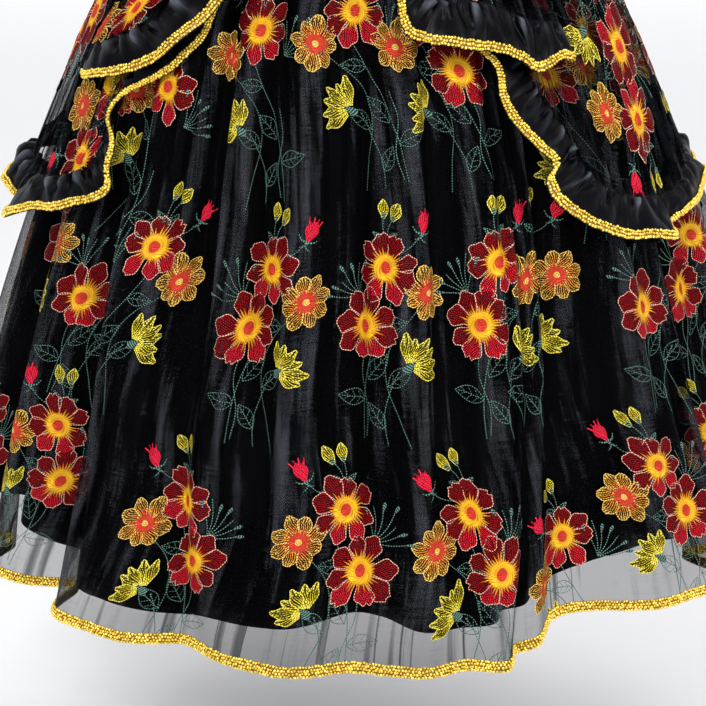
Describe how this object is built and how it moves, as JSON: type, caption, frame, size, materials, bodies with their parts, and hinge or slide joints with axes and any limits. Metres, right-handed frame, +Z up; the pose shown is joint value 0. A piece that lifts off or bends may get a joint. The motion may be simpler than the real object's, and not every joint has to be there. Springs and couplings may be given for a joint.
{
  "type": "folk dance skirt",
  "caption": "Full bell-shaped black folk dance skirt with floral embroidered organza over satin, an open-front ruffled overskirt and gold beaded braid.",
  "frame": {"origin": "centre of the waist, on the waistband's top edge", "axes": "+Z up along the wearer's body; -Y is the front; +X is towards the wearer's left"},
  "size_m": [1.0694, 0.8164, 0.9664],
  "materials": {
    "waistband": "black satin, folded double, soft low sheen",
    "lining_satin": "black satin, smooth, soft broad highlights",
    "organza": "sheer black organza with a watery grey sheen",
    "ruffle_satin": "black satin, gathered, slate grey highlights",
    "gold_braid": "small gold beads in slanting rows, bright with amber shadows",
    "maroon_thread": "embroidery thread, silky, dark crimson",
    "pink_thread": "embroidery thread, pale pink chain stitch",
    "yellow_thread": "embroidery thread, bright yellow satin stitch",
    "red_thread": "embroidery thread, orange red",
    "gold_thread": "embroidery thread, open gold and orange stitch",
    "lime_thread": "embroidery thread, yellow green",
    "teal_thread": "embroidery thread, teal green line stitch",
    "crimson_thread": "embroidery thread, bright crimson"
  },
  "bodies": {
    "root": {"waistband": "waistband", "lining_back_right": "lining_satin", "lining_front_right": "lining_satin", "lining_front_left": "lining_satin", "lining_back_left": "lining_satin", "organza_back_right": "organza", "organza_front_right": "organza", "organza_front_left": "organza", "organza_back_left": "organza", "hem_braid_back_right": "gold_braid", "hem_braid_front_right": "gold_braid", "hem_braid_front_left": "gold_braid", "hem_braid_back_left": "gold_braid", "upper_right_panel": "organza", "upper_right_ruffle": "ruffle_satin", "upper_right_braid": "gold_braid", "upper_left_panel": "organza", "upper_left_ruffle": "ruffle_satin", "upper_left_braid": "gold_braid", "lower_right_panel": "organza", "lower_right_ruffle": "ruffle_satin", "lower_right_braid": "gold_braid", "lower_left_panel": "organza", "lower_left_ruffle": "ruffle_satin", "lower_left_braid": "gold_braid"}
  },
  "joints": []
}
